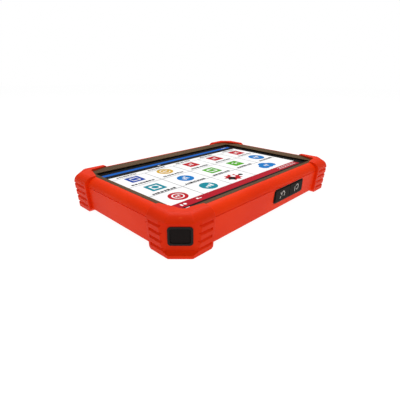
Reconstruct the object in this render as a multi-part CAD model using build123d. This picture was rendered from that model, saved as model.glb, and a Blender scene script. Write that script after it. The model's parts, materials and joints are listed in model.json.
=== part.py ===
"""Rugged tablet data collector: screen up, long side along X, key side facing -Y, feet on z = 0."""
import os
from math import atan, degrees, sqrt
from build123d import *

os.makedirs("parts", exist_ok=True)

# ---------------------------------------------------------------- driving dimensions (mm)
# case
FOOT = 2.4                    # bumper feet below the case underside
CASE_H = 27.2                 # case underside to the bezel's outer edge
CASE_X = 106.7                # case half length at its top edge
CASE_Y = 71.8                 # case half width at its top edge
DRAFT = 0.0644                # side draft, mm per mm of height
CASE_CUT = 21.5               # corner chamfer leg of the case
CASE_BOTTOM_R = 1.0
RIM_R = 8.4                   # rounding of the case's top rim
RIM_DEPTH = 6.8               # rim band measured down from the bezel edge
SIDE_INSET = 0.5              # side faces sit this far inside the rim
NECK_INSET = 1.1              # shadow line right under the rim
NECK_H = 0.7
WALL_X = 101.4                # inner cavity half length
WALL_Y = 66.4                 # inner cavity half width
CORNER_WALL = 3.0             # extra chamfer leg of everything inside the corners
CAVITY_R = 4.0
FIT = 0.2                     # clearance of a fixed part in its seat
RUN_FIT = 0.05                # radial clearance of a moving round part

# bezel and glass
BEZEL_X = 97.5                # bezel outer half length
BEZEL_Y = 62.6
BEZEL_T = 3.4
BEZEL_IN_X = 91.0             # bezel inner half length
BEZEL_IN_Y = 55.9
BEZEL_FALL = 1.8              # drop of the sloped bezel face
BEZEL_RIM = 0.6               # flat left at the bezel's outer edge
BEZEL_CORNER_R = 5.0
WINDOW_CORNER_R = 2.0
GLASS_DROP = 2.6              # bezel edge to glass surface
GLASS_T = 1.1
GLASS_LAP = 3.2               # glass held under the bezel
GLASS_R = 2.7
GLASS_FIT = 0.3
GASKET_T = 0.3
GASKET_SET = 0.8              # gasket stays back from the window

# display stack
DISPLAY_W = 172.2             # active area of the 8 inch panel
DISPLAY_H = 107.6
DISPLAY_MID = (-3.0, -1.5)
DISPLAY_EDGE = 2.0            # border round the active area
DISPLAY_T = 1.2
LIGHT_T = 2.2
TRAY_WALL = 1.0
TRAY_FLOOR = 0.5

# corner bumpers
PROUD = 2.1                   # bumper thickness outside the case
ARM = 30.8                    # bumper arm length, from the case corner
ARM_END_R = 0.8
ARM_FOOT_BEVEL = 2.4          # bevel under the end of each arm
LIP_H = 1.2                   # lip height above the bezel edge
LIP_CORNER_X = 93.6           # inner corner of the lip
LIP_CORNER_Y = 60.6
LIP_CORNER_R = 4.5
LIP_STRAIGHT = 6.0            # straight stretch each side of the lip's inner corner
BUMPER_CUT = 11.5             # corner chamfer leg of the bumper
BUMPER_EDGE_R = 2.0
BUMPER_TOP_R = 7.6
BUMPER_BOTTOM_R = 0.8
FOOT_WALL = 9.0               # width of the foot under the case edge
PANEL_DEPTH = 6.5             # front left corner panel behind the bumper's chamfer face
PANEL_LOW = 4.2
PANEL_HIGH = 25.6
LEDGE_FALL = 0.4              # slope of the ledge under the corner panel
GROOVE_TOPS = (23.4, 17.8, 12.2, 6.6)
GROOVE_H = 3.2
GROOVE_DEPTH = 1.5
GROOVE_INSET = 2.3            # groove end to arm end

# black insert of the corner panel
INSERT_W = 16.4
INSERT_H = 13.2
INSERT_MID_Z = 14.8
INSERT_RIM = 1.5
INSERT_R = 2.2
INSERT_PROUD = 0.5
INSERT_SEAT = 2.2             # pocket depth behind the corner panel
INSERT_FLOOR = 0.8
PAD_GAP = 0.35
PAD_SINK = 0.35

# keys in the front side
KEY_MID_X = 25.3
KEY_MID_Z = 15.3
KEY_PANEL_W = 49.4
KEY_PANEL_H = 12.6
KEY_CORNER_R = 2.4
KEY_CAP_R = 1.2
KEY_EDGE_R = 0.45
KEY_RING = 0.8
KEY_GAP = 0.3
KEY_PROUD = 1.2
KEY_RING_PROUD = 0.5
KEY_FACE_Y = 70.3             # side face at key height
KEY_FLANGE = 2.5              # surround flange beyond the panel opening
KEY_FLANGE_T = 1.2
KEY_STEM = 3.2
STOP_T = 0.8                  # flange that keeps the key from falling out
GASKET_WALL = 0.4
SWITCH = 6.0
SWITCH_T = 3.4
PLUNGER_R = 1.2
PLUNGER_OUT = 1.1
PLUNGER_IN = 0.8
SWITCH_BORE = 1.8
KEY_BOARD_BACK_Y = -57.0
KEY_BOARD_T = 1.0
KEY_BOARD_HALF = 22.0

# ports and their cover in the back side
PORT_MID_X = -42.0
PORT_W = 40.0
PORT_LOW = 7.0
PORT_HIGH = 20.8
PORT_BACK_Y = 62.5
PORT_PLATE_Y = 65.0
PORT_FACE_Y = 66.2
USB_OFFSET = 9.0
USB_A_W, USB_A_H = 13.1, 5.7
USB_C_W, USB_C_H = 8.9, 3.2
USB_A_BACK_Y = 52.0
USB_C_BACK_Y = 56.0
USB_WALL = 1.5                # closed back of each socket
SHELL_T = 0.3
TONGUE_SET = 0.8
COVER_T = 2.0
COVER_GAP = 0.35
COVER_EDGE_R = 0.8
KNUCKLE_R = 1.9
PIN_R = 0.8
PIN_BITE = 2.2                # pin length held in the case at each end
GRIP_HALF = 7.0
GRIP_H = 1.2
GRIP_OUT = 0.8
GRIP_DOWN = 1.4
PLUG_SET = 3.0                # inner plug of the cover, in from its edges
PLUG_T = 0.9

# inside
CHASSIS_Z = 18.6
CHASSIS_T = 1.2
CHASSIS_FIT = 0.4
BOARD_Z = 9.0
BOARD_T = 1.4
BOARD_X0, BOARD_X1 = -88.0, -3.0
BOARD_Y0, BOARD_Y1 = -50.0, 57.5
COVER_PLATE_T = 2.0
POST_INSET = 5.0
POST_R = 3.4
BOARD_POST_R = 2.6
SCREW_R = 1.2
SCREW_HEAD_R = 2.2
SCREW_HEAD_H = 1.1
SCREW_LENGTH = 7.0
BOARD_SCREW_R = 0.9
BOARD_SCREW_HEAD_R = 1.9
BOARD_SCREW_HEAD_H = 1.0
BOARD_SCREW_LENGTH = 4.6
SHIELD_H = 2.4
BATTERY_X0, BATTERY_X1 = 4.0, 93.0
BATTERY_Y0, BATTERY_Y1 = -44.0, 50.0
BATTERY_T = 9.0
BATTERY_LIFT = 0.6
BATTERY_R = 3.0
FOAM_SET = 4.0
LEAD_MID_Y = 33.0
MIC_Y = -37.6
MIC_Z = 18.1
MIC_HOLE_R = 0.6
MIC_HALF = 2.0

# rear cover details
CAMERA = (-70.0, 46.0)
CAMERA_R = 5.0
CAMERA_BODY = 9.0
LENS_R = 3.4
WINDOW_SINK = 0.3
WINDOW_T = 1.0
FLASH = (-56.0, 46.0)
FLASH_R = 2.0
SPEAKER = (-68.0, -56.5)
SPEAKER_SLOTS = 7
SPEAKER_PITCH = 4.0
SPEAKER_SLOT_HALF = (0.8, 3.2)
MESH_HALF = (14.5, 4.2)
MESH_T = 0.3
SPEAKER_HALF = (13.5, 4.0)
SPEAKER_T = 4.5
RIB_COUNT = 6
RIB_PITCH = 12.0
RIB_DEPTH = 0.5
RIB_HALF = 0.7
RIB_X0, RIB_X1 = -30.0, 84.0

BIG = 60.0                    # reach of cutting blocks

# ---------------------------------------------------------------- derived levels
UNDER_Z = FOOT
EDGE_Z = FOOT + CASE_H
TOP_Z = EDGE_Z + LIP_H
GLASS_Z = EDGE_Z - GLASS_DROP
RIM_LOW_Z = EDGE_Z - RIM_DEPTH
LEDGE_Z = EDGE_Z - BEZEL_T
PLATE_TOP = UNDER_Z + COVER_PLATE_T
BOARD_TOP = BOARD_Z + BOARD_T
TAPER = -degrees(atan(DRAFT))
PANEL_CORNER = "front_left"   # the one corner with a recessed panel
CORNERS = {"front_left": (-1, -1), "front_right": (1, -1), "back_right": (1, 1), "back_left": (-1, 1)}


# ---------------------------------------------------------------- helpers
def save(name, shape):
    export_step(shape, f"parts/{name}.step")


def block(x0, x1, y0, y1, z0, z1):
    centre = ((x0 + x1) / 2, (y0 + y1) / 2, (z0 + z1) / 2)
    return Pos(*centre) * Box(x1 - x0, y1 - y0, z1 - z0)


def block_at(mid, half, z0, z1):
    return block(mid[0] - half[0], mid[0] + half[0], mid[1] - half[1], mid[1] + half[1], z0, z1)


def rod(radius, x, y, z0, z1):
    return Pos(x, y, (z0 + z1) / 2) * Cylinder(radius, z1 - z0)


def rod_x(radius, mid_x, y, z, length):
    return Pos(mid_x, y, z) * Rot(0, 90, 0) * Cylinder(radius, length)


def rod_y(radius, x, y0, y1, z):
    return Pos(x, (y0 + y1) / 2, z) * Rot(90, 0, 0) * Cylinder(radius, y1 - y0)


def octagon(half_x, half_y, cut):
    points = [(-half_x + cut, -half_y), (half_x - cut, -half_y), (half_x, -half_y + cut), (half_x, half_y - cut)]
    points += [(-x, -y) for x, y in points]
    return make_face(Polyline(*points, close=True))


def puck(half_x, half_y, cut, z0, z1):
    """Drafted prism, wider at the top; the half sizes are those of the top."""
    fall = DRAFT * (z1 - z0)
    base = octagon(half_x - fall, half_y - fall, cut)
    return Pos(0, 0, z0) * extrude(base, z1 - z0, taper=TAPER)


def round_top(shape, radius):
    top = shape.faces().sort_by(Axis.Z)[-1]
    return fillet(top.edges(), radius)


def round_bottom(shape, radius):
    low = shape.faces().sort_by(Axis.Z)[0]
    return fillet(low.edges(), radius)


def plate(half_x, half_y, radius, z0, z1, mid=(0, 0)):
    return Pos(mid[0], mid[1], z0) * extrude(RectangleRounded(2 * half_x, 2 * half_y, radius), z1 - z0)


def inner_plate(half_x, half_y, radius, extra, z0, z1):
    """Plate whose corners are cut back to stay inside the case's corner walls."""
    return plate(half_x, half_y, radius, z0, z1) & puck(CASE_X, CASE_Y, CASE_CUT + CORNER_WALL + extra, UNDER_Z, EDGE_Z)


def front_plate(x, z, width, height, radius, y0, y1):
    """Rounded plate standing in the XZ plane between two Y levels."""
    sketch = Plane(origin=(x, y1, z), x_dir=(1, 0, 0), z_dir=(0, -1, 0)) * RectangleRounded(width, height, radius)
    return extrude(sketch, y1 - y0)


def mirror_to(shape, sign_x, sign_y):
    if sign_x > 0:
        shape = mirror(shape, Plane.YZ)
    if sign_y > 0:
        shape = mirror(shape, Plane.XZ)
    return shape


def screws(points, shank_r, head_r, head_z, head_h, length):
    """Screws standing head down, with a hexagonal drive in each head."""
    group = []
    for x, y in points:
        shank = rod(shank_r, x, y, head_z + head_h, head_z + head_h + length)
        head = rod(head_r, x, y, head_z, head_z + head_h)
        drive = Pos(x, y, head_z) * extrude(RegularPolygon(head_r * 0.55, 6), head_h * 0.6)
        group.append(shank + head - drive)
    return Compound(group)


# ---------------------------------------------------------------- case frame
def case_band(inset, z0, z1, shape=None):
    """Slice of the case skin between two levels."""
    shape = shape or puck(CASE_X - inset, CASE_Y - inset, CASE_CUT, UNDER_Z, EDGE_Z)
    return shape & block(-CASE_X, CASE_X, -CASE_Y, CASE_Y, z0, z1)


def case_envelope():
    """Outer skin of the case, without bumpers."""
    side = round_bottom(puck(CASE_X - SIDE_INSET, CASE_Y - SIDE_INSET, CASE_CUT, UNDER_Z, EDGE_Z), CASE_BOTTOM_R)
    side = case_band(0, UNDER_Z, RIM_LOW_Z - NECK_H, side)
    neck = case_band(NECK_INSET, RIM_LOW_Z - NECK_H, RIM_LOW_Z)
    rim = round_top(puck(CASE_X, CASE_Y, CASE_CUT, RIM_LOW_Z - RIM_R, EDGE_Z), RIM_R)
    rim = case_band(0, RIM_LOW_Z, EDGE_Z, rim)
    return side + neck + rim


port_x0 = PORT_MID_X - PORT_W / 2
port_x1 = PORT_MID_X + PORT_W / 2
hinge_y = KEY_FACE_Y - KNUCKLE_R
hinge_z = PORT_LOW + KNUCKLE_R + COVER_GAP
hinge_pin = rod_x(PIN_R, PORT_MID_X, hinge_y, hinge_z, PORT_W + 2 * (COVER_GAP + PIN_BITE))

envelope = case_envelope()
cavity = inner_plate(WALL_X, WALL_Y, CAVITY_R, 0, UNDER_Z, LEDGE_Z)
bezel_hole = plate(BEZEL_X + FIT, BEZEL_Y + FIT, BEZEL_CORNER_R, LEDGE_Z, EDGE_Z)
key_hole = front_plate(KEY_MID_X, KEY_MID_Z, KEY_PANEL_W, KEY_PANEL_H, KEY_CORNER_R, -CASE_Y - 1, -WALL_Y + 1)
port_hole = block(port_x0 - COVER_GAP, port_x1 + COVER_GAP, WALL_Y - 1, CASE_Y + 1, PORT_LOW, PORT_HIGH)
mic_hole = rod_x(MIC_HOLE_R, -CASE_X, MIC_Y, MIC_Z, 2 * (CASE_X - WALL_X) + 2)

frame = envelope - cavity - bezel_hole - key_hole - port_hole - hinge_pin - mic_hole
save("side_frame", frame)

# ---------------------------------------------------------------- bezel, glass and gasket
high_outline = RectangleRounded(2 * (BEZEL_X - BEZEL_RIM), 2 * (BEZEL_Y - BEZEL_RIM), BEZEL_CORNER_R - BEZEL_RIM)
low_outline = RectangleRounded(2 * BEZEL_IN_X, 2 * BEZEL_IN_Y, WINDOW_CORNER_R)
dish = loft([Pos(0, 0, EDGE_Z - BEZEL_FALL) * low_outline, Pos(0, 0, EDGE_Z + 0.01) * high_outline])
window = plate(BEZEL_IN_X, BEZEL_IN_Y, WINDOW_CORNER_R, UNDER_Z, EDGE_Z)
glass_x = BEZEL_IN_X + GLASS_LAP
glass_y = BEZEL_IN_Y + GLASS_LAP
gasket_top = GLASS_Z + GASKET_T
rebate = plate(glass_x + GLASS_FIT, glass_y + GLASS_FIT, GLASS_R + GLASS_FIT, UNDER_Z, gasket_top)
bezel_outer = plate(BEZEL_X, BEZEL_Y, BEZEL_CORNER_R, LEDGE_Z, EDGE_Z)
save("front_bezel", bezel_outer - dish - window - rebate)

save("touch_glass", plate(glass_x, glass_y, GLASS_R, GLASS_Z - GLASS_T, GLASS_Z))
gasket = plate(glass_x, glass_y, GLASS_R, GLASS_Z, gasket_top)
gasket -= plate(BEZEL_IN_X + GASKET_SET, BEZEL_IN_Y + GASKET_SET, WINDOW_CORNER_R, GLASS_Z, gasket_top)
save("glass_gasket", gasket)

# ---------------------------------------------------------------- display stack
display_top = GLASS_Z - GLASS_T
display_low = display_top - DISPLAY_T
light_low = display_low - LIGHT_T
display_half = (DISPLAY_W / 2 + DISPLAY_EDGE, DISPLAY_H / 2 + DISPLAY_EDGE)
tray_half = (display_half[0] + TRAY_WALL, display_half[1] + TRAY_WALL)
save("display_panel", plate(*display_half, 1.0, display_low, display_top, DISPLAY_MID))
save("backlight", plate(*display_half, 1.0, light_low, display_low, DISPLAY_MID))
tray = plate(*tray_half, 1.2, light_low - TRAY_FLOOR, display_top, DISPLAY_MID)
tray -= plate(*display_half, 1.0, light_low, display_top, DISPLAY_MID)
save("display_tray", tray)

# ---------------------------------------------------------------- inner chassis
post_x = WALL_X - POST_INSET
post_y = WALL_Y - POST_INSET
case_screw_points = [(-46, -post_y), (68, -post_y), (-78, post_y), (46, post_y)]
case_screw_points += [(sx * post_x, sy * post_y / 2) for sx, sy in CORNERS.values()]
board_screw_points = [(x, y) for x in (-84, -48, -8) for y in (-46, 20)]

chassis = inner_plate(WALL_X - CHASSIS_FIT, WALL_Y - CHASSIS_FIT, CAVITY_R, 0.6, CHASSIS_Z, LEDGE_Z)
chassis -= plate(glass_x + GLASS_FIT, glass_y + GLASS_FIT, GLASS_R + GLASS_FIT, CHASSIS_Z + CHASSIS_T, LEDGE_Z)
for x, y in case_screw_points:
    chassis += rod(POST_R, x, y, PLATE_TOP, CHASSIS_Z)
    chassis -= rod(SCREW_R, x, y, PLATE_TOP, PLATE_TOP + SCREW_LENGTH)
for x, y in board_screw_points:
    chassis += rod(BOARD_POST_R, x, y, BOARD_TOP, CHASSIS_Z)
    chassis -= rod(BOARD_SCREW_R, x, y, BOARD_TOP, BOARD_TOP + 4.0)
for side in (-1, 1):
    stay_mid = (KEY_MID_X + 19.0 * side, KEY_BOARD_BACK_Y + 1.5)
    chassis += block_at(stay_mid, (2.5, 1.5), KEY_MID_Z - 5.5, CHASSIS_Z)
key_bay_half = KEY_PANEL_W / 2 + 4.0
chassis -= block(KEY_MID_X - key_bay_half, KEY_MID_X + key_bay_half, -WALL_Y, KEY_BOARD_BACK_Y, CHASSIS_Z - 1, 21.9)
chassis -= block(port_x0 - 2.0, port_x1 + 2.0, PORT_PLATE_Y - FIT, WALL_Y, CHASSIS_Z - 1, 22.0)
save("mid_chassis", chassis)

# ---------------------------------------------------------------- rear cover
head_low = UNDER_Z + 0.2
rear = inner_plate(WALL_X - FIT, WALL_Y - FIT, CAVITY_R, 0.3, UNDER_Z, PLATE_TOP)
for x, y in case_screw_points:
    rear -= rod(SCREW_HEAD_R + 0.3, x, y, UNDER_Z, head_low + SCREW_HEAD_H)
    rear -= rod(SCREW_R + 0.15, x, y, UNDER_Z, PLATE_TOP)
rear -= rod(CAMERA_R, *CAMERA, UNDER_Z, PLATE_TOP)
rear -= rod(FLASH_R, *FLASH, UNDER_Z, PLATE_TOP)
for i in range(SPEAKER_SLOTS):
    slot_x = SPEAKER[0] + SPEAKER_PITCH * (i - (SPEAKER_SLOTS - 1) / 2)
    rear -= block_at((slot_x, SPEAKER[1]), SPEAKER_SLOT_HALF, UNDER_Z, PLATE_TOP)
for i in range(RIB_COUNT):
    rib_y = RIB_PITCH * (i - (RIB_COUNT - 1) / 2)
    rear -= block(RIB_X0, RIB_X1, rib_y - RIB_HALF, rib_y + RIB_HALF, UNDER_Z, UNDER_Z + RIB_DEPTH)
save("rear_cover", rear)

lens_low = UNDER_Z + WINDOW_SINK + WINDOW_T
save("camera_window", rod(CAMERA_R, *CAMERA, UNDER_Z + WINDOW_SINK, lens_low))
camera = rod(LENS_R, *CAMERA, lens_low, PLATE_TOP)
camera += block_at(CAMERA, (CAMERA_BODY / 2, CAMERA_BODY / 2), PLATE_TOP, BOARD_Z)
save("rear_camera", camera)
save("flash_lens", rod(FLASH_R, *FLASH, UNDER_Z + 0.2, PLATE_TOP))
save("speaker_mesh", block_at(SPEAKER, MESH_HALF, PLATE_TOP, PLATE_TOP + MESH_T))
save("speaker", plate(*SPEAKER_HALF, 2.0, PLATE_TOP + MESH_T, PLATE_TOP + MESH_T + SPEAKER_T, SPEAKER))

save("case_screws", screws(case_screw_points, SCREW_R, SCREW_HEAD_R, head_low, SCREW_HEAD_H, SCREW_LENGTH))
save("board_screws", screws(board_screw_points, BOARD_SCREW_R, BOARD_SCREW_HEAD_R, BOARD_Z - BOARD_SCREW_HEAD_H,
                            BOARD_SCREW_HEAD_H, BOARD_SCREW_LENGTH))

# ---------------------------------------------------------------- electronics
board = block(BOARD_X0, BOARD_X1, BOARD_Y0, BOARD_Y1, BOARD_Z, BOARD_TOP)
for x, y in board_screw_points:
    board -= rod(BOARD_SCREW_R + 0.1, x, y, BOARD_Z, BOARD_TOP)
save("main_board", board)
save("processor_shield", block_at((-69.0, -15.0), (11.0, 15.0), BOARD_TOP, BOARD_TOP + SHIELD_H))
save("radio_shield", block_at((-30.0, -21.0), (12.0, 13.0), BOARD_TOP, BOARD_TOP + SHIELD_H))

battery_low = PLATE_TOP + BATTERY_LIFT
battery_top = battery_low + BATTERY_T
battery = block(BATTERY_X0, BATTERY_X1, BATTERY_Y0, BATTERY_Y1, battery_low, battery_top)
save("battery_pack", fillet(battery.edges().filter_by(Axis.Z), BATTERY_R))
save("battery_foam", block(BATTERY_X0 + FOAM_SET, BATTERY_X1 - FOAM_SET, BATTERY_Y0 + FOAM_SET, BATTERY_Y1 - FOAM_SET,
                           battery_top, CHASSIS_Z))
lead = block(-9.0, BATTERY_X0, LEAD_MID_Y - 3.0, LEAD_MID_Y + 3.0, BOARD_TOP, BOARD_TOP + 1.2)
lead += block(-14.0, -9.0, LEAD_MID_Y - 5.0, LEAD_MID_Y + 5.0, BOARD_TOP, BOARD_TOP + 3.0)
save("battery_lead", lead)

antenna_low = CHASSIS_Z - 0.6
antenna = block(-12.0, 60.0, WALL_Y - 1.5, WALL_Y - 0.6, antenna_low, CHASSIS_Z)
antenna -= block(0.0, 40.0, WALL_Y - 1.1, WALL_Y - 0.6, antenna_low, CHASSIS_Z)
save("antenna", antenna)
save("microphone", block(-WALL_X + FIT, -WALL_X + 3.0, MIC_Y - MIC_HALF, MIC_Y + MIC_HALF, MIC_Z - MIC_HALF, CHASSIS_Z))

# ---------------------------------------------------------------- keys on the front side
holder_y = -WALL_Y + GASKET_WALL
key_back_y = holder_y + KEY_FLANGE_T + 0.3
switch_back_y = KEY_BOARD_BACK_Y - KEY_BOARD_T
switch_front_y = switch_back_y - SWITCH_T
tip_y = switch_front_y - PLUNGER_OUT
key_w = (KEY_PANEL_W - 2 * KEY_RING - 3 * KEY_GAP) / 2
key_h = KEY_PANEL_H - 2 * KEY_RING - 2 * KEY_GAP
flange_w = KEY_PANEL_W + 2 * KEY_FLANGE


def on_keys(width, height, radius, y0, y1):
    return front_plate(KEY_MID_X, KEY_MID_Z, width, height, radius, y0, y1)


surround = on_keys(KEY_PANEL_W, KEY_PANEL_H, KEY_CORNER_R, -KEY_FACE_Y - KEY_RING_PROUD, holder_y)
surround += on_keys(flange_w, KEY_PANEL_H - FIT, 1.0, holder_y, holder_y + KEY_FLANGE_T)
surround -= on_keys(KEY_PANEL_W - 2 * KEY_RING, KEY_PANEL_H - 2 * KEY_RING, KEY_CORNER_R - KEY_RING,
                    -CASE_Y - 1, holder_y + 2)
save("key_surround", surround)

key_gasket = on_keys(flange_w, KEY_PANEL_H + 3.0, 1.0, -WALL_Y, holder_y)
key_gasket -= on_keys(KEY_PANEL_W, KEY_PANEL_H, KEY_CORNER_R, -WALL_Y - 1, holder_y + 1)
save("key_gasket", key_gasket)


def key_cap(x, side):
    """Cap with a stop flange that reaches outwards, and a stem to the plunger."""
    cap = front_plate(x, KEY_MID_Z, key_w, key_h, KEY_CAP_R, -KEY_FACE_Y - KEY_PROUD, key_back_y)
    cap = fillet(cap.faces().sort_by(Axis.Y)[0].edges(), KEY_EDGE_R)
    stop_w = key_w + 2 * KEY_GAP
    stop_h = key_h + 4 * KEY_GAP
    cap += front_plate(x + side * KEY_GAP, KEY_MID_Z, stop_w, stop_h, 0.8, key_back_y, key_back_y + STOP_T)
    half = KEY_STEM / 2
    cap += block(x - half, x + half, key_back_y + STOP_T, tip_y, KEY_MID_Z - half, KEY_MID_Z + half)
    return cap


for name, side in (("power", -1), ("lock", 1)):
    x = KEY_MID_X + side * (key_w + KEY_GAP) / 2
    save(f"{name}_key", key_cap(x, side))
    save(f"{name}_plunger", rod_y(PLUNGER_R, x, tip_y, switch_front_y + PLUNGER_IN, KEY_MID_Z))
    switch = front_plate(x, KEY_MID_Z, SWITCH, SWITCH, 0.3, switch_front_y, switch_back_y)
    switch -= rod_y(PLUNGER_R + RUN_FIT, x, switch_front_y, switch_front_y + SWITCH_BORE, KEY_MID_Z)
    save(f"{name}_switch", switch)

save("key_board", block(KEY_MID_X - KEY_BOARD_HALF, KEY_MID_X + KEY_BOARD_HALF, switch_back_y, KEY_BOARD_BACK_Y,
                        KEY_MID_Z - 5.5, KEY_MID_Z + 3.2))
FLEX_X0, FLEX_X1 = -22.0, -16.0
FLEX_T = 0.3
flex_front = KEY_BOARD_BACK_Y - FLEX_T
flex = block(FLEX_X0, KEY_MID_X - KEY_BOARD_HALF, flex_front, KEY_BOARD_BACK_Y, KEY_MID_Z - 4.0, KEY_MID_Z)
flex += block(FLEX_X0, FLEX_X1, flex_front, KEY_BOARD_BACK_Y, BOARD_TOP, KEY_MID_Z)
flex += block(FLEX_X0, FLEX_X1, KEY_BOARD_BACK_Y, BOARD_Y0 + 3.0, BOARD_TOP, BOARD_TOP + FLEX_T)
save("key_flex", flex)

# ---------------------------------------------------------------- ports and their cover
usb_a_x = PORT_MID_X - USB_OFFSET
usb_c_x = PORT_MID_X + USB_OFFSET
usb_a_z = BOARD_TOP + 3.6
usb_c_z = BOARD_TOP + 1.9


def usb_a_space(y0, y1, grow):
    return front_plate(usb_a_x, usb_a_z, USB_A_W + 2 * grow, USB_A_H + 2 * grow, 0.4, y0, y1)


def usb_c_space(y0, y1, grow):
    radius = USB_C_H / 2 + grow - 0.01
    return front_plate(usb_c_x, usb_c_z, USB_C_W + 2 * grow, USB_C_H + 2 * grow, radius, y0, y1)


port_block = block(port_x0, port_x1, PORT_BACK_Y, PORT_PLATE_Y, BOARD_TOP, PORT_HIGH - 3.0)
port_block += block(port_x0 - 1.5, port_x1 + 1.5, PORT_PLATE_Y, PORT_FACE_Y, PORT_LOW - 1.0, PORT_HIGH + 1.0)
port_block -= usb_a_space(PORT_BACK_Y - 1, PORT_FACE_Y + 1, SHELL_T)
port_block -= usb_c_space(PORT_BACK_Y - 1, PORT_FACE_Y + 1, SHELL_T)
save("port_block", port_block)

usb_a_inside = USB_A_BACK_Y + USB_WALL
usb_c_inside = USB_C_BACK_Y + USB_WALL
tongue_end = PORT_FACE_Y - TONGUE_SET
save("usb_a_shell", usb_a_space(USB_A_BACK_Y, PORT_FACE_Y, SHELL_T) - usb_a_space(usb_a_inside, PORT_FACE_Y + 1, 0))
save("usb_a_tongue", block(usb_a_x - 5.6, usb_a_x + 5.6, usb_a_inside, tongue_end, usb_a_z + 0.5, usb_a_z + 2.3))
save("usb_c_shell", usb_c_space(USB_C_BACK_Y, PORT_FACE_Y, SHELL_T) - usb_c_space(usb_c_inside, PORT_FACE_Y + 1, 0))
save("usb_c_tongue", block(usb_c_x - 3.3, usb_c_x + 3.3, usb_c_inside, tongue_end, usb_c_z - 0.35, usb_c_z + 0.35))

cover_top = PORT_HIGH - COVER_GAP
cover_back = KEY_FACE_Y - COVER_T
cover = block(port_x0, port_x1, cover_back, KEY_FACE_Y, hinge_z, cover_top)
top_edges = cover.faces().sort_by(Axis.Z)[-1].edges().sort_by(Axis.Y)
cover = fillet(top_edges[-1], COVER_EDGE_R)
cover += rod_x(KNUCKLE_R, PORT_MID_X, hinge_y, hinge_z, PORT_W)
grip_top = cover_top - GRIP_DOWN
cover += block(PORT_MID_X - GRIP_HALF, PORT_MID_X + GRIP_HALF, KEY_FACE_Y, KEY_FACE_Y + GRIP_OUT, grip_top - GRIP_H, grip_top)
cover += block(port_x0 + PLUG_SET, port_x1 - PLUG_SET, cover_back - PLUG_T, cover_back, hinge_z + 3.4, cover_top - 2.6)
cover -= rod_x(PIN_R + RUN_FIT, PORT_MID_X, hinge_y, hinge_z, PORT_W + 2)
save("port_cover", cover)
save("cover_pin", hinge_pin)

# ---------------------------------------------------------------- corner bumpers
# Modelled at the -X -Y corner and mirrored to the others.
ROOT2 = sqrt(2)
bumper_x = CASE_X + PROUD
bumper_y = CASE_Y + PROUD
arm_end_x = -CASE_X + ARM
arm_end_y = -CASE_Y + ARM
face_mid = (-(CASE_X - CASE_CUT / 2), -(CASE_Y - CASE_CUT / 2))
corner_plane = Plane(origin=(*face_mid, 0), x_dir=(1, -1, 0), z_dir=(-1, -1, 0))
side_plane = Plane(origin=(*face_mid, 0), x_dir=(-1, -1, 0), z_dir=(-1, 1, 0))
face_out = (PROUD + PROUD + CASE_CUT - BUMPER_CUT) / ROOT2
panel_out = face_out - PANEL_DEPTH


def bumper_skin():
    """Outer shape of the bumpers, as one body round the whole case."""
    skin = puck(bumper_x, bumper_y, BUMPER_CUT, 0, TOP_Z)
    upright = skin.edges().filter_by(lambda edge: abs((edge @ 1 - edge @ 0).Z) > TOP_Z / 2)
    skin = fillet(upright, BUMPER_EDGE_R)
    skin = round_top(skin, BUMPER_TOP_R)
    return round_bottom(skin, BUMPER_BOTTOM_R)


def outer_edges(shape, face_axis, depth_axis):
    """Edges of an arm's end face along the outer skin: its side, its rounding and its top."""
    edges = shape.faces().filter_by(face_axis).sort_by(face_axis)[-1].edges()
    inner = max(edge.center().dot(depth_axis) for edge in edges)
    low = min(edge.center().Z for edge in edges)
    return [edge for edge in edges if edge.center().dot(depth_axis) < inner - 1 and edge.center().Z > low + 1]


def bumper_block():
    """One corner of the skin, its arms cut to length with softened ends."""
    corner = block(-CASE_X - BIG, arm_end_x, -CASE_Y - BIG, arm_end_y, -1, TOP_Z + 1)
    shape = bumper_skin() & corner
    ends = outer_edges(shape, Axis.X, Vector(0, 1, 0)) + outer_edges(shape, Axis.Y, Vector(1, 0, 0))
    shape = fillet(ends, ARM_END_R)
    wedge = Polyline((1, ARM_FOOT_BEVEL + 1), (1, -1), (-ARM_FOOT_BEVEL - 1, -1), close=True)
    under_x = Plane(origin=(arm_end_x, 0, 0), x_dir=(1, 0, 0), z_dir=(0, -1, 0))
    under_y = Plane(origin=(0, arm_end_y, 0), x_dir=(0, 1, 0), z_dir=(1, 0, 0))
    shape -= extrude(under_x * make_face(wedge), 2 * BIG, both=True)
    shape -= extrude(under_y * make_face(wedge), 2 * BIG, both=True)
    return shape


def screen_clearance():
    """Space over the screen; its edge turns inwards from the bezel edge to the lip's corner."""
    points = [(-BEZEL_X - FIT, 0), (-BEZEL_X - FIT, arm_end_y), (-LIP_CORNER_X, -LIP_CORNER_Y + LIP_STRAIGHT)]
    points += [(-LIP_CORNER_X, -LIP_CORNER_Y), (-LIP_CORNER_X + LIP_STRAIGHT, -LIP_CORNER_Y)]
    points += [(arm_end_x, -BEZEL_Y - FIT), (0, -BEZEL_Y - FIT), (0, 0)]
    outline = make_face(Polyline(*points, close=True))
    tip = outline.vertices().sort_by_distance((-LIP_CORNER_X, -LIP_CORNER_Y, 0))[0]
    outline = fillet(tip, LIP_CORNER_R)
    return Pos(0, 0, UNDER_Z) * extrude(outline, TOP_Z)


def on_corner(width, height, radius, out0, out1, z_mid):
    """Rounded plate on the corner's 45 degree face."""
    sketch = corner_plane * Pos(0, z_mid) * RectangleRounded(width, height, radius)
    return extrude(Pos(*(corner_plane.z_dir * out0)) * sketch, out1 - out0)


def panel_cut():
    """Recess of the corner panel, with a sloping lower ledge."""
    reach = PANEL_DEPTH + 4.0
    points = [(panel_out, PANEL_LOW), (panel_out + reach, PANEL_LOW - LEDGE_FALL * reach)]
    points += [(panel_out + reach, PANEL_HIGH), (panel_out, PANEL_HIGH)]
    return extrude(side_plane * make_face(Polyline(*points, close=True)), CASE_CUT, both=True)


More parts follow.
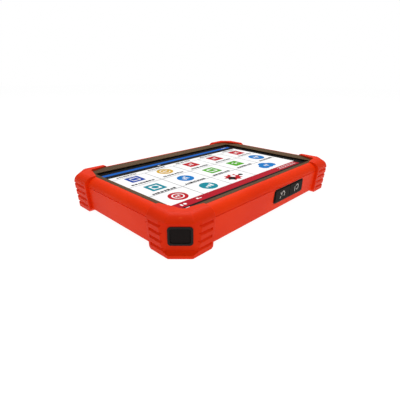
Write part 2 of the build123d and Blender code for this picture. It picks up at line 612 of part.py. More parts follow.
def groove_face(plane, depth, top):
    """Wedge section of a groove in a face that looks along -x of the plane: steep above, sloping out below."""
    out = depth + 1
    points = [(-depth + GROOVE_DEPTH, top - 0.9), (-out, top + 0.2), (-out, top - GROOVE_H - 1)]
    return plane * make_face(Polyline(*points, close=True))


def side_grooves():
    along_x = Plane(origin=(arm_end_x - GROOVE_INSET, 0, 0), x_dir=(0, 1, 0), z_dir=(1, 0, 0))
    along_y = Plane(origin=(0, arm_end_y - GROOVE_INSET, 0), x_dir=(1, 0, 0), z_dir=(0, -1, 0))
    cuts = []
    for top in GROOVE_TOPS:
        fall = DRAFT * (TOP_Z - top)
        cuts.append(extrude(groove_face(along_x, bumper_y - fall, top), -BIG / 2))
        cuts.append(extrude(groove_face(along_y, bumper_x - fall, top), BIG / 2))
    return cuts


def corner_grooves():
    """The same grooves across the 45 degree face, so that they run right round the corner."""
    inward_plane = Plane(origin=(*face_mid, 0), x_dir=(1, 1, 0), z_dir=(1, -1, 0))
    cuts = []
    for top in GROOVE_TOPS:
        fall = ROOT2 * DRAFT * (TOP_Z - top)
        cuts.append(extrude(groove_face(inward_plane, face_out - fall, top), 0.75 * BUMPER_CUT, both=True))
    return cuts


foot_space = plate(CASE_X - FOOT_WALL, CASE_Y - FOOT_WALL, 8.0, -1, UNDER_Z)
bumper = bumper_block() - envelope - (bezel_outer - dish) - screen_clearance() - foot_space - cavity
bumper -= bezel_hole & block(-CASE_X, CASE_X, -CASE_Y, CASE_Y, UNDER_Z, EDGE_Z - 1.2)
for cut in side_grooves():
    bumper -= cut

plain_bumper = bumper
for cut in corner_grooves():
    plain_bumper -= cut
for corner, (sign_x, sign_y) in CORNERS.items():
    if corner != PANEL_CORNER:
        save(f"bumper_{corner}", mirror_to(plain_bumper, sign_x, sign_y))

# the corner with the recessed panel and its black insert
seat_out = panel_out - INSERT_SEAT
floor_out = seat_out + INSERT_FLOOR
face_level = panel_out + INSERT_PROUD
panel_bumper = bumper - panel_cut() - on_corner(INSERT_W, INSERT_H, INSERT_R, seat_out, panel_out + 1, INSERT_MID_Z)
save(f"bumper_{PANEL_CORNER}", panel_bumper)

insert_frame = on_corner(INSERT_W, INSERT_H, INSERT_R, seat_out, face_level, INSERT_MID_Z)
insert_frame -= on_corner(INSERT_W - 2 * INSERT_RIM, INSERT_H - 2 * INSERT_RIM, INSERT_R - 0.9,
                          floor_out, face_level + 1, INSERT_MID_Z)
pad_w = INSERT_W - 2 * (INSERT_RIM + PAD_GAP)
pad_h = INSERT_H - 2 * (INSERT_RIM + PAD_GAP)
insert_pad = on_corner(pad_w, pad_h, INSERT_R - 1.2, floor_out, face_level - PAD_SINK, INSERT_MID_Z)
save("insert_frame", insert_frame)
save("insert_pad", insert_pad)
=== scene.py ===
"""Looks of the rugged tablet data collector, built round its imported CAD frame.

The CAD parts get materials only. The screen picture and the key symbols are thin printed
shapes that ride the case and the keys; they are drawn in millimetres and placed in metres.
"""
import json
import math
import random

import bmesh
import bpy
from mathutils import Matrix, Vector


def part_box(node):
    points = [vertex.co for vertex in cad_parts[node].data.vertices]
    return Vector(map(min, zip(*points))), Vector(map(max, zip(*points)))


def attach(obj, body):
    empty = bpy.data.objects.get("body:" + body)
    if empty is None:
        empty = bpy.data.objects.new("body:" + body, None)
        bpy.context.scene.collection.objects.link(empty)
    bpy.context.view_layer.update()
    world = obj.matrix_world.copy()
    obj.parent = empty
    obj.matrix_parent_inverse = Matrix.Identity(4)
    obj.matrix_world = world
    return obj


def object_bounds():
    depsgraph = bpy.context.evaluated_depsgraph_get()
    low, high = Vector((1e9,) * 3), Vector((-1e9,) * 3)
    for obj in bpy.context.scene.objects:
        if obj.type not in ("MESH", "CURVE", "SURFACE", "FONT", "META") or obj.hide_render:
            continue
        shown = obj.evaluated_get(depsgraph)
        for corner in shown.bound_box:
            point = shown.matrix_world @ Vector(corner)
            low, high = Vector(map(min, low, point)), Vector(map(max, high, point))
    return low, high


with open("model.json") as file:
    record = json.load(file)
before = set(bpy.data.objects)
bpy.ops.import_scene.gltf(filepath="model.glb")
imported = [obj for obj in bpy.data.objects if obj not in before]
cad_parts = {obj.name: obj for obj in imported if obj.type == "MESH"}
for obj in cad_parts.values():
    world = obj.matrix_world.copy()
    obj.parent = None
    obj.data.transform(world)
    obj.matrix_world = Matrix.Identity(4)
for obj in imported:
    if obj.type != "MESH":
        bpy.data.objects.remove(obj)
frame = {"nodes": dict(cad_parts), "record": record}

cad_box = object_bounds()
nodes = frame["nodes"]
random.seed(7)
MM = 0.001


# ---------------------------------------------------------------- colours
SCREEN_STEPS = 255
LINEAR_END = 0.04045
LINEAR_SLOPE = 12.92
CURVE_OFFSET = 0.055
CURVE_POWER = 2.4


def srgb(r, g, b):
    """Linear colour from 0-255 screen values."""
    out = []
    for value in (r, g, b):
        c = value / SCREEN_STEPS
        if c <= LINEAR_END:
            out.append(c / LINEAR_SLOPE)
        else:
            out.append(((c + CURVE_OFFSET) / (1 + CURVE_OFFSET)) ** CURVE_POWER)
    return (*out, 1.0)


def grey(value):
    return srgb(value, value, value)


# ---------------------------------------------------------------- material helpers
TONE_EDGES = (0.35, 0.65)
PATCH_DETAIL = 4.0
GRAIN_DETAIL = 3.0
GRAIN_DEPTH = 0.05 * MM
# Sharp edges are blended towards a lighter colour: partly wear, partly painted edge highlight.
EDGE_WEAR_AND_HIGHLIGHT_START = 0.64
EDGE_WEAR_AND_HIGHLIGHT_FULL = 0.8
EDGE_WEAR_AND_HIGHLIGHT_AMOUNT = 0.55


def noise(nt, coords, scale, detail):
    node = nt.nodes.new("ShaderNodeTexNoise")
    node.inputs["Scale"].default_value = scale
    node.inputs["Detail"].default_value = detail
    nt.links.new(coords, node.inputs["Vector"])
    return node.outputs["Fac"]


def two_tones(nt, source, low, high):
    """A colour that runs from low to high over the middle of the source's range."""
    node = nt.nodes.new("ShaderNodeValToRGB")
    first, last = node.color_ramp.elements
    first.position, last.position = TONE_EDGES
    first.color, last.color = low, high
    nt.links.new(source, node.inputs["Fac"])
    return node.outputs["Color"]


def span(nt, source, low, high):
    """The source's 0-1 value moved to the range low-high."""
    node = nt.nodes.new("ShaderNodeMapRange")
    node.inputs["To Min"].default_value = low
    node.inputs["To Max"].default_value = high
    nt.links.new(source, node.inputs["Value"])
    return node.outputs["Result"]


def worn_and_highlit_edges(nt, colour, wear_and_highlight):
    """Blends a lighter colour in where the shape is sharpest: edge wear and painted edge highlight."""
    shape = nt.nodes.new("ShaderNodeNewGeometry")
    edge = nt.nodes.new("ShaderNodeMapRange")
    edge.inputs["From Min"].default_value = EDGE_WEAR_AND_HIGHLIGHT_START
    edge.inputs["From Max"].default_value = EDGE_WEAR_AND_HIGHLIGHT_FULL
    edge.inputs["To Max"].default_value = EDGE_WEAR_AND_HIGHLIGHT_AMOUNT
    nt.links.new(shape.outputs["Pointiness"], edge.inputs["Value"])
    mix = nt.nodes.new("ShaderNodeMix")
    mix.data_type = "RGBA"
    nt.links.new(edge.outputs["Result"], mix.inputs["Factor"])
    nt.links.new(colour, mix.inputs["A"])
    mix.inputs["B"].default_value = wear_and_highlight
    return mix.outputs["Result"]


def surface(name, dark, light, rough, grain=900.0, bump=0.1, patch=25.0, stretch=(1, 1, 1),
            wear_and_highlight=None, metallic=0.0, specular=0.5, glow=0.0):
    """A node material: two tones in soft patches, varied roughness, fine grain, worn edges with painted edge
    highlight.
    """
    mat = bpy.data.materials.new(name)
    mat.use_nodes = True
    nt = mat.node_tree
    shader = nt.nodes["Principled BSDF"]
    place = nt.nodes.new("ShaderNodeTexCoord")
    mapping = nt.nodes.new("ShaderNodeMapping")
    mapping.inputs["Scale"].default_value = stretch
    nt.links.new(place.outputs["Object"], mapping.inputs["Vector"])
    coords = mapping.outputs["Vector"]
    colour = two_tones(nt, noise(nt, coords, patch, PATCH_DETAIL), dark, light)
    fine = noise(nt, coords, grain, GRAIN_DETAIL)
    # lighter sharp edges: wear and painted edge highlight
    if wear_and_highlight is not None:
        colour = worn_and_highlit_edges(nt, colour, wear_and_highlight)
    nt.links.new(colour, shader.inputs["Base Color"])
    nt.links.new(span(nt, fine, *rough), shader.inputs["Roughness"])
    if bump:
        relief = nt.nodes.new("ShaderNodeBump")
        relief.inputs["Strength"].default_value = bump
        relief.inputs["Distance"].default_value = GRAIN_DEPTH
        nt.links.new(fine, relief.inputs["Height"])
        nt.links.new(relief.outputs["Normal"], shader.inputs["Normal"])
    shader.inputs["Metallic"].default_value = metallic
    shader.inputs["Specular IOR Level"].default_value = specular
    if glow:
        shader.inputs["Emission Color"].default_value = light
        shader.inputs["Emission Strength"].default_value = glow
    return mat


CLEAR_ROUGH_SPREAD = 0.03


def clear(name, colour, alpha, rough):
    """A see-through material with very little shine."""
    mat = surface(name, colour, colour, (rough, rough + CLEAR_ROUGH_SPREAD),
                  grain=60.0, bump=0.0, specular=0.05)
    mat.node_tree.nodes["Principled BSDF"].inputs["Alpha"].default_value = alpha
    return mat


# ---------------------------------------------------------------- finish of each slot
# Lighter rubber for sharp edges: wear and painted edge highlight.
RUBBER_WEAR_AND_HIGHLIGHT = srgb(250, 84, 36)
RUBBER_GRAIN = dict(grain=1000, bump=0.55, wear_and_highlight=RUBBER_WEAR_AND_HIGHLIGHT, specular=0.08)
CASE_RUBBER = dict(dark=srgb(240, 50, 4), light=srgb(248, 57, 6), **RUBBER_GRAIN)
# The bumpers get the case rubber made a little darker, as painted shade for their recessed panel and grooves.
SHADED_BUMPER_RUBBER = dict(dark=srgb(232, 46, 3), light=srgb(240, 53, 5), **RUBBER_GRAIN)
LOOKS = {
    "case_rubber": dict(rough=(0.4, 0.52), **CASE_RUBBER),
    "bumper_rubber": dict(rough=(0.38, 0.5), **SHADED_BUMPER_RUBBER),
    "cover_rubber": dict(rough=(0.45, 0.58), **CASE_RUBBER),
    "bezel_plastic": dict(dark=srgb(86, 63, 38), light=srgb(95, 71, 44), rough=(0.45, 0.6),
                          grain=2200, bump=0.25, wear_and_highlight=srgb(128, 104, 76), specular=0.08),
    "rear_plastic": dict(dark=grey(34), light=grey(42), rough=(0.5, 0.7),
                         grain=2600, bump=0.4, wear_and_highlight=grey(70)),
    "key_black": dict(dark=srgb(22, 14, 7), light=srgb(27, 18, 10), rough=(0.5, 0.65),
                      grain=2400, bump=0.2, specular=0.08),
    "key_trim": dict(dark=srgb(20, 14, 9), light=srgb(25, 19, 13), rough=(0.5, 0.65),
                     grain=2400, bump=0.2, specular=0.2),
    "insert_trim": dict(dark=srgb(20, 17, 14), light=srgb(26, 22, 18), rough=(0.4, 0.55),
                        grain=2400, bump=0.15, specular=0.2),
    "insert_rubber": dict(dark=srgb(18, 10, 7), light=srgb(23, 14, 10), rough=(0.6, 0.75),
                          grain=1800, bump=0.3, specular=0.15),
    "display_face": dict(dark=grey(12), light=grey(16), rough=(0.3, 0.4)),
    "light_guide": dict(dark=grey(225), light=grey(235), rough=(0.3, 0.4)),
    "tray_steel": dict(dark=grey(150), light=grey(170), rough=(0.35, 0.5), metallic=1.0,
                       stretch=(1, 12, 1)),
    "chassis_alloy": dict(dark=grey(140), light=grey(160), rough=(0.5, 0.65), metallic=1.0,
                          bump=0.3),
    "camera_black": dict(dark=grey(14), light=grey(20), rough=(0.2, 0.35)),
    "mesh_steel": dict(dark=grey(20), light=grey(60), rough=(0.4, 0.5), metallic=1.0,
                       grain=3500, bump=0.6),
    "speaker_plastic": dict(dark=grey(28), light=grey(34), rough=(0.5, 0.6)),
    "screw_black": dict(dark=grey(40), light=grey(55), rough=(0.3, 0.45), metallic=1.0,
                        wear_and_highlight=grey(140)),
    "screw_steel": dict(dark=grey(150), light=grey(175), rough=(0.3, 0.45), metallic=1.0),
    "board_green": dict(dark=srgb(10, 70, 35), light=srgb(14, 85, 45), rough=(0.3, 0.45),
                        grain=500),
    "shield_tin": dict(dark=grey(175), light=grey(195), rough=(0.3, 0.45), metallic=1.0),
    "battery_wrap": dict(dark=srgb(40, 44, 56), light=srgb(48, 52, 64), rough=(0.35, 0.5)),
    "foam_black": dict(dark=grey(18), light=grey(26), rough=(0.85, 0.95), grain=1200, bump=0.5),
    "lead_plastic": dict(dark=srgb(150, 26, 20), light=srgb(165, 32, 26), rough=(0.35, 0.45)),
    "antenna_gold": dict(dark=srgb(190, 150, 80), light=srgb(205, 165, 90), rough=(0.3, 0.4),
                         metallic=1.0),
    "mic_body": dict(dark=srgb(170, 160, 130), light=srgb(185, 175, 140), rough=(0.3, 0.4),
                     metallic=1.0),
    "plunger_plastic": dict(dark=grey(60), light=grey(70), rough=(0.3, 0.4)),
    "switch_body": dict(dark=grey(40), light=grey(46), rough=(0.4, 0.5)),
    "flex_film": dict(dark=srgb(170, 100, 30), light=srgb(185, 112, 36), rough=(0.25, 0.35)),
    "port_plastic": dict(dark=grey(22), light=grey(30), rough=(0.5, 0.6), bump=0.3, grain=2200),
    "port_steel": dict(dark=grey(170), light=grey(190), rough=(0.2, 0.35), metallic=1.0,
                       stretch=(1, 8, 1)),
    "tongue_plastic": dict(dark=grey(16), light=grey(22), rough=(0.4, 0.5)),
    "pin_steel": dict(dark=grey(150), light=grey(170), rough=(0.25, 0.35), metallic=1.0,
                      stretch=(0.1, 1, 1)),
}
CLEAR = {
    "screen_glass": (grey(10), 0.03, 0.05),
    "window_glass": (grey(14), 0.75, 0.04),
    "flash_clear": (srgb(250, 240, 200), 0.6, 0.25),
}
finishes = {name: surface(name, **look) for name, look in LOOKS.items()}
finishes.update({name: clear(name, *look) for name, look in CLEAR.items()})

slot_of = {row["node"]: row["material_slot"] for row in frame["record"]["subparts"]}
for node_name, obj in nodes.items():
    obj.data.materials.clear()
    obj.data.materials.append(finishes[slot_of[node_name]])


# ---------------------------------------------------------------- flat printed shapes
MITRE_LIMIT = 0.45
ROUND_STEP = 15
DISC_SIDES = 40
ARC_SIDES = 24
CLOUD_SIDES = 72


def on_circle(x, y, radius, angle):
    return (x + radius * math.cos(angle), y + radius * math.sin(angle))


class Sheet:
    """Collects flat polygons, each with a colour, and turns them into one thin piece."""

    def __init__(self, name, place, thickness):
        self.name = name
        self.place = place
        self.thickness = thickness
        self.mesh = bmesh.new()
        self.looks = []

    def polygon(self, points, look, lift):
        """One closed outline as a thin plate, lifted above the sheet's base."""
        if look not in self.looks:
            self.looks.append(look)
        new = self.mesh.verts.new
        high = self.thickness + lift * MM
        top = [new(self.place(x * MM, y * MM, high)) for x, y in points]
        low = [new(self.place(x * MM, y * MM, lift * MM)) for x, y in points]
        faces = [self.mesh.faces.new(top), self.mesh.faces.new(low[::-1])]
        for i in range(len(points)):
            j = (i + 1) % len(points)
            faces.append(self.mesh.faces.new((low[i], low[j], top[j], top[i])))
        for face in faces:
            face.material_index = self.looks.index(look)

    def rect(self, x0, x1, y0, y1, look, lift, radius=0.0):
        if not radius:
            self.polygon([(x0, y0), (x1, y0), (x1, y1), (x0, y1)], look, lift)
            return
        left, right = x0 + radius, x1 - radius
        low, high = y0 + radius, y1 - radius
        points = []
        for cx, cy, start in ((right, high, 0), (left, high, 90), (left, low, 180), (right, low, 270)):
            for turn in range(0, 91, ROUND_STEP):
                points.append(on_circle(cx, cy, radius, math.radians(start + turn)))
        self.polygon(points, look, lift)

    def disc(self, x, y, radius, look, lift):
        angles = [2 * math.pi * i / DISC_SIDES for i in range(DISC_SIDES)]
        self.polygon([on_circle(x, y, radius, a) for a in angles], look, lift)

    def stroke(self, points, width, look, lift):
        """A line of even width through the points, with mitred corners, as one outline."""
        spots = [Vector(point) for point in points]
        normals = [(b - a).orthogonal().normalized() for a, b in zip(spots, spots[1:])]
        left, right = [], []
        for i, spot in enumerate(spots):
            before = normals[max(i - 1, 0)]
            after = normals[min(i, len(normals) - 1)]
            mitre = (before + after).normalized()
            offset = mitre * width / 2 / max(mitre.dot(after), MITRE_LIMIT)
            left.append(tuple(spot + offset))
            right.append(tuple(spot - offset))
        self.polygon(left + right[::-1], look, lift)

    def arc(self, x, y, radius, start, stop, width, look, lift):
        """An open band along a circle, as one outline."""
        angles = [math.radians(start + (stop - start) * i / ARC_SIDES) for i in range(ARC_SIDES + 1)]
        rim = [on_circle(x, y, radius + width / 2, a) for a in angles]
        bore = [on_circle(x, y, radius - width / 2, a) for a in reversed(angles)]
        self.polygon(rim + bore, look, lift)

    def cloud(self, x, y, puffs, look, lift):
        """The joint outline of round puffs (dx, dy, radius), as seen from one centre."""
        outline = []
        for i in range(CLOUD_SIDES):
            angle = 2 * math.pi * i / CLOUD_SIDES
            ux, uy = math.cos(angle), math.sin(angle)
            reach = 0.0
            for dx, dy, radius in puffs:
                along = ux * dx + uy * dy
                inside = along ** 2 - dx ** 2 - dy ** 2 + radius ** 2
                if inside >= 0:
                    reach = max(reach, along + math.sqrt(inside))
            outline.append((x + reach * ux, y + reach * uy))
        self.polygon(outline, look, lift)

    def finish(self, body):
        """Makes the piece and hangs it on its body."""
        bmesh.ops.recalc_face_normals(self.mesh, faces=self.mesh.faces)
        data = bpy.data.meshes.new(self.name)
        self.mesh.to_mesh(data)
        self.mesh.free()
        obj = bpy.data.objects.new(self.name, data)
        bpy.context.scene.collection.objects.link(obj)
        for look in self.looks:
            data.materials.append(look)
        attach(obj, body)


INK_SHADE = 0.9


def ink(name, colour, glow):
    """A smooth printed colour that also glows a little, as a lit screen does."""
    shade = tuple(c * INK_SHADE for c in colour[:3]) + (1.0,)
    return surface(name, shade, colour, (0.3, 0.4), grain=400, bump=0.0, patch=60.0,
                   specular=0.05, glow=glow)


PAGE = ink("ui_white", grey(250), 0.18)
BLUE_BAR = ink("ui_blue_bar", srgb(0, 92, 186), 0.2)
RED_BAR = ink("ui_red_bar", srgb(176, 10, 34), 0.2)
BLACK = ink("ui_black", grey(6), 0.0)
GREY_TEXT = ink("ui_text", grey(38), 0.0)
LINE = ink("ui_line", grey(178), 0.05)
RED = ink("ui_red", srgb(190, 14, 32), 0.15)
BLUE = ink("ui_blue", srgb(10, 120, 196), 0.15)
DEEP_BLUE = ink("ui_deep_blue", srgb(16, 66, 165), 0.15)
TEAL = ink("ui_teal", srgb(8, 138, 155), 0.15)
GREEN = ink("ui_green", srgb(80, 170, 20), 0.15)
GOLD = ink("ui_gold", srgb(212, 168, 55), 0.15)

# ---------------------------------------------------------------- screen: page and bars
PICTURE_DEPTH = 0.45 * MM
PRINT_THICKNESS = 0.02 * MM
LAYER = 0.03
PAGE_LIFT = LAYER
ICON_LIFT = 2 * LAYER
GLYPH_LIFT = 3 * LAYER
TOP_LIFT = 4 * LAYER
RING_LIFT = TOP_LIFT + LAYER
glass_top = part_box("touch_glass")[1][2]
picture_z = glass_top - PICTURE_DEPTH


def on_screen(x, y, z):
    return (x, y, picture_z + z)


def screen_sheet(name):
    return Sheet(name, on_screen, PRINT_THICKNESS)


MASK_X, MASK_Y, MASK_RADIUS = 92.5, 57.5, 2.0
PAGE_LEFT, PAGE_RIGHT = -91.5, 82.0
PAGE_LOW, PAGE_HIGH = -43.6, 37.0
BLUE_LOW, BLUE_HIGH, BLUE_PAST = 43.6, 48.4, 1
RED_LOW, RED_SHORT = -51.6, 3
mask = screen_sheet("screen_mask")
mask.rect(-MASK_X, MASK_X, -MASK_Y, MASK_Y, BLACK, 0.0, MASK_RADIUS)
mask.finish("case")

page = screen_sheet("screen_page")
page.rect(PAGE_LEFT, PAGE_RIGHT, PAGE_LOW, PAGE_HIGH, PAGE, PAGE_LIFT)
page.rect(PAGE_LEFT, PAGE_RIGHT + BLUE_PAST, BLUE_LOW, BLUE_HIGH, BLUE_BAR, PAGE_LIFT)
page.rect(PAGE_LEFT, PAGE_RIGHT - RED_SHORT, RED_LOW, PAGE_LOW, RED_BAR, PAGE_LIFT)
page.finish("case")

# ---------------------------------------------------------------- screen: grid and lettering
COLUMNS = (-73.0, -40.0, -6.0, 29.3, 67.0)
ROWS = (21.3, -6.5, -33.5)
LINE_HALF = 0.38
ROW_LINES = (30.0, 5.5, -20.5)
LINE_TOP = ROW_LINES[0]
LAST_CELL_TOP = ROW_LINES[-1]
COLUMN_LINES = ((-56.5, PAGE_LOW), (-23.0, PAGE_LOW), (11.7, PAGE_LOW), (48.5, LAST_CELL_TOP))
LINE_INSET = 1
LETTER_WIDTH = (1.2, 3.0)
LETTER_RISE = (0.5, 1.0)
LETTER_GAP = (0.4, 0.9)
HEADING_HALF, HEADING_Y, HEADING_SIZE = 10, 34.0, 2.8
LABEL_HALF, LABEL_DROP, LABEL_SIZE = 11.5, 11.8, 3.0
SMALL_PRINT = ((70, 78, 46.8, 0.9), (-33, -29, 41.0, 1.2), (44, 76, -46.0, 0.8), (44, 76, -48.6, 0.8))
BAR_DISCS = ((-79.4, -47.8, 1.3), (-66.2, -46.8, 1.1))
BAR_DASHES = ((-83.4, -81.9, -49.2, -46.4), (-65.0, -62.6, -47.8, -47.0), (-84.0, -80.5, -54.0, -53.2))
marks = screen_sheet("screen_marks")
for x, foot in COLUMN_LINES:
    marks.rect(x - LINE_HALF, x + LINE_HALF, foot, LINE_TOP, LINE, GLYPH_LIFT)
for y in ROW_LINES:
    marks.rect(PAGE_LEFT + LINE_INSET, PAGE_RIGHT - LINE_INSET, y - LINE_HALF, y + LINE_HALF, LINE, ICON_LIFT)


def text_line(x0, x1, y, height, look):
    """An unreadable line of lettering: short uneven dashes."""
    x = x0
    while x < x1:
        width = random.uniform(*LETTER_WIDTH)
        rise = height / 2 * random.uniform(*LETTER_RISE)
        marks.rect(x, min(x + width, x1), y - height / 2, y + rise, look, ICON_LIFT)
        x += width + random.uniform(*LETTER_GAP)


for x in COLUMNS:
    text_line(x - HEADING_HALF, x + HEADING_HALF, HEADING_Y, HEADING_SIZE, GREY_TEXT)
    for y in ROWS[:2]:
        text_line(x - LABEL_HALF, x + LABEL_HALF, y - LABEL_DROP, LABEL_SIZE, GREY_TEXT)
for place_and_size in SMALL_PRINT:
    text_line(*place_and_size, PAGE)
for x, y, radius in BAR_DISCS:
    marks.disc(x, y, radius, PAGE, ICON_LIFT)
for sides in BAR_DASHES:
    marks.rect(*sides, PAGE, ICON_LIFT)
marks.finish("case")

# ---------------------------------------------------------------- screen: icons
FRAME_RADIUS, FRAME_BAND, WINDOW_RADIUS = 1.0, 2.9, 0.6
TILE_RADIUS = 1.4
CORE_RADIUS = 0.8
TRACE = ((-0.5, -0.1), (-0.25, 0.3), (0.0, -0.3), (0.25, 0.25), (0.5, 0.0))
TRACE_WIDTH = 0.13
icons = screen_sheet("screen_icons")


def frame_icon(x, y, size, look):
    """A square ring."""
    half = size / 2
    icons.rect(x - half, x + half, y - half, y + half, look, ICON_LIFT, FRAME_RADIUS)
    inner = half - FRAME_BAND
    icons.rect(x - inner, x + inner, y - inner, y + inner, PAGE, GLYPH_LIFT, WINDOW_RADIUS)


def core(x, y, half_x, half_y, look):
    """A small block in the middle of a square ring."""
    icons.rect(x - half_x, x + half_x, y - half_y, y + half_y, look, TOP_LIFT, CORE_RADIUS)


def wave(x, y, size, look, turn, lift=TOP_LIFT):
    """A generic zigzag trace."""
    c, s = math.cos(turn) * size, math.sin(turn) * size
    points = [(x + px * c - py * s, y + px * s + py * c) for px, py in TRACE]
    icons.stroke(points, TRACE_WIDTH * size, look, lift)


def tile_icon(x, y, size, look, trace_size, turn):
    """A solid square with a trace."""
    half = size / 2
    icons.rect(x - half, x + half, y - half, y + half, look, ICON_LIFT, TILE_RADIUS)
    wave(x, y, trace_size, PAGE, turn)


def round_icon(x, y, radius, look, trace_size, turn):
    """A solid disc with a trace."""
    icons.disc(x, y, radius, look, ICON_LIFT)
    wave(x, y, trace_size, PAGE, turn)


x0, x1, x2, x3, x4 = COLUMNS
y0, y1, y2 = ROWS
RED_TILES = ((x2, 13.4), (x3, 14.2), (x4, 15.0))
RED_TRACE = 0.55
frame_icon(x0, y0, 13.6, DEEP_BLUE)
core(x0, y0, 3.2, 2.6, DEEP_BLUE)
icons.disc(x1, y0, 7.8, GOLD, ICON_LIFT)
icons.arc(x1, y0, 4.6, 20, 340, 0.9, PAGE, TOP_LIFT)
icons.rect(x1 - 2.6, x1 + 2.6, y0 - 0.7, y0 + 0.7, PAGE, TOP_LIFT)
for x, size in RED_TILES:
    tile_icon(x, y0, size, RED, RED_TRACE * size, 0.6)
frame_icon(x0, y1, 14.0, TEAL)
icons.disc(x0, y1, 3.0, TEAL, TOP_LIFT)
round_icon(x1, y1, 7.6, BLUE, 8.4, 0.9)
frame_icon(x2, y1, 14.2, GREEN)
core(x2, y1, 3.0, 2.6, GREEN)
tile_icon(x3, y1, 14.2, GREEN, 7.5, -0.5)
round_icon(x4, y1, 8.8, BLUE, 8.4, 0.2)

# a ring with a trace, and a disc with three rising bars
icons.disc(x0, y2, 7.8, RED, ICON_LIFT)
icons.disc(x0, y2, 5.0, PAGE, GLYPH_LIFT)
icons.disc(x0, y2, 3.9, RED, TOP_LIFT)
wave(x0, y2, 5.0, PAGE, 0.4, RING_LIFT)
BAR_COUNT, BAR_PITCH, BAR_WIDTH, BAR_STEP = 3, 3.2, 2.0, 1.6
BAR_LEFT, BAR_FOOT, BAR_HEAD = -4.2, -2.6, -0.6
icons.disc(x1, y2, 7.8, TEAL, ICON_LIFT)
for i in range(BAR_COUNT):
    bar_x = x1 + BAR_LEFT + BAR_PITCH * i
    icons.rect(bar_x, bar_x + BAR_WIDTH, y2 + BAR_FOOT, y2 + BAR_HEAD + BAR_STEP * i, PAGE, TOP_LIFT)

# a generic burst with three dots
BURST_POINTS = 9
BURST_REACH = (9.6, 6.6)
BURST_SQUASH = 0.85
BURST_SHIFT = 2.0
BURST_DOTS = ((-5.4, -1.4, 3.6, BLACK), (0.2, 2.0, 2.4, PAGE), (9.0, 0.4, 2.2, BLACK))
burst = []
for i in range(2 * BURST_POINTS):
    angle = math.pi * i / BURST_POINTS
    reach = BURST_REACH[i % 2]
    burst.append((x2 - BURST_SHIFT + reach * math.cos(angle), y2 + reach * BURST_SQUASH * math.sin(angle)))
icons.polygon(burst, RED, ICON_LIFT)
for dx, dy, radius, look in BURST_DOTS:
    icons.disc(x2 + dx, y2 + dy, radius, look, GLYPH_LIFT)

PUFFS = ((-6.0, -1.4, 5.4), (0.4, 1.8, 7.0), (6.6, -0.8, 5.2), (0.4, -1.8, 5.0))
CLOUD_X, CLOUD_Y, CLOUD_TRACE_X = 46.3, -32.6, 46.6
icons.cloud(CLOUD_X, CLOUD_Y, PUFFS, BLUE, ICON_LIFT)
wave(CLOUD_TRACE_X, CLOUD_Y, 7.0, PAGE, 0.3)
icons.finish("case")

# ---------------------------------------------------------------- key symbols
SYMBOL_GAP = 0.02 * MM
SYMBOL_THICKNESS = 0.06 * MM
SYMBOL_WIDTH = 0.8
SYMBOL_RADIUS = 2.3
PAINT = surface("glyph_paint", srgb(188, 178, 170), srgb(200, 190, 182), (0.45, 0.55),
                grain=900, bump=0.1)


def key_symbol(key, bow, strokes):
    """A symbol of one bow (x, y, start, stop) and some strokes, printed on a key's face."""
    low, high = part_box(key)
    mid_x = (low[0] + high[0]) / 2
    mid_z = (low[2] + high[2]) / 2
    face_y = low[1]

    def on_key(x, y, z):
        return (mid_x + x, face_y + SYMBOL_GAP - z, mid_z + y)

    symbol = Sheet(f"{key}_symbol", on_key, SYMBOL_THICKNESS)
    x, y, start, stop = bow
    symbol.arc(x, y, SYMBOL_RADIUS, start, stop, SYMBOL_WIDTH, PAINT, 0.0)
    for points in strokes:
        symbol.stroke(points, SYMBOL_WIDTH, PAINT, 0.0)
    symbol.finish(key)


key_symbol("power_key", (1.0, 0.2, -60, 230), ([(-3.6, 2.4), (-0.4, -1.6)], [(-4.2, -3.0), (-2.8, -1.2)]))
key_symbol("lock_key", (0.9, 0.6, -120, 150), ([(-3.0, 1.8), (-3.0, -3.0)],))

# ---------------------------------------------------------------- stage
FLOOR_HALF = 4.0
FLOOR_GAP = 0.05 * MM
floor_z = cad_box[0][2] - FLOOR_GAP
floor_corners = [(-FLOOR_HALF, -FLOOR_HALF, floor_z), (FLOOR_HALF, -FLOOR_HALF, floor_z),
                 (FLOOR_HALF, FLOOR_HALF, floor_z), (-FLOOR_HALF, FLOOR_HALF, floor_z)]
floor_mesh = bpy.data.meshes.new("floor")
floor_mesh.from_pydata(floor_corners, [], [(0, 1, 2, 3)])
floor = bpy.data.objects.new("floor", floor_mesh)
bpy.context.scene.collection.objects.link(floor)
floor_mesh.materials.append(surface("floor_paper", grey(98), grey(102), (0.9, 0.95), bump=0.0,
                                    specular=0.0, glow=7.2))

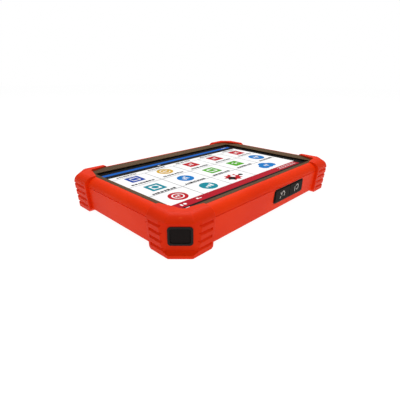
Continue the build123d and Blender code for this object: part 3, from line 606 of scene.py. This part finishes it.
# ---------------------------------------------------------------- light
# The backdrop looks white to the camera but lights the object more softly than that.
WORLD_LIGHT = 0.3
WORLD_SEEN = 1.0
world = bpy.data.worlds.new("studio")
world.use_nodes = True
sky = world.node_tree
backdrop = sky.nodes["Background"]
backdrop.inputs["Color"].default_value = (1.0, 1.0, 1.0, 1.0)
ray = sky.nodes.new("ShaderNodeLightPath")
level = span(sky, ray.outputs["Is Camera Ray"], WORLD_LIGHT, WORLD_SEEN)
sky.links.new(level, backdrop.inputs["Strength"])
bpy.context.scene.world = world


def softbox(name, place, aim, size, power):
    light = bpy.data.lights.new(name, "AREA")
    light.shape = "RECTANGLE"
    light.size, light.size_y = size
    light.energy = power
    obj = bpy.data.objects.new(name, light)
    bpy.context.scene.collection.objects.link(obj)
    away = Vector(place) - Vector(aim)
    obj.rotation_euler = away.to_track_quat("Z", "Y").to_euler()
    obj.location = place


softbox("top_box", (0.3, 0.35, 0.9), (0, 0, 0), (0.8, 0.8), 7.6)
softbox("left_box", (-0.6, -0.1, 0.75), (0, 0, 0.02), (0.7, 0.5), 1.0)
softbox("front_box", (0.1, -0.6, 0.75), (0, 0, 0.02), (0.7, 0.5), 1.6)

# ---------------------------------------------------------------- camera
CAMERA_AT = (-0.20960, -0.18759, 0.10745)
CAMERA_AZIMUTH = 43.948
CAMERA_DOWN = 22.219
CAMERA_ROLL = 0.55
SENSOR = 36.0
LENS = 27.034
NEAREST = 0.01
camera_data = bpy.data.cameras.new("camera")
camera_data.sensor_width = SENSOR
camera_data.lens = LENS
camera_data.clip_start = NEAREST
camera = bpy.data.objects.new("camera", camera_data)
bpy.context.scene.collection.objects.link(camera)
heading = Matrix.Rotation(math.radians(CAMERA_AZIMUTH - 90), 4, "Z")
pitch = Matrix.Rotation(math.radians(90 - CAMERA_DOWN), 4, "X")
roll = Matrix.Rotation(math.radians(CAMERA_ROLL), 4, "Z")
camera.matrix_world = Matrix.Translation(CAMERA_AT) @ heading @ pitch @ roll
bpy.context.scene.camera = camera
bpy.context.scene.view_settings.view_transform = "Standard"
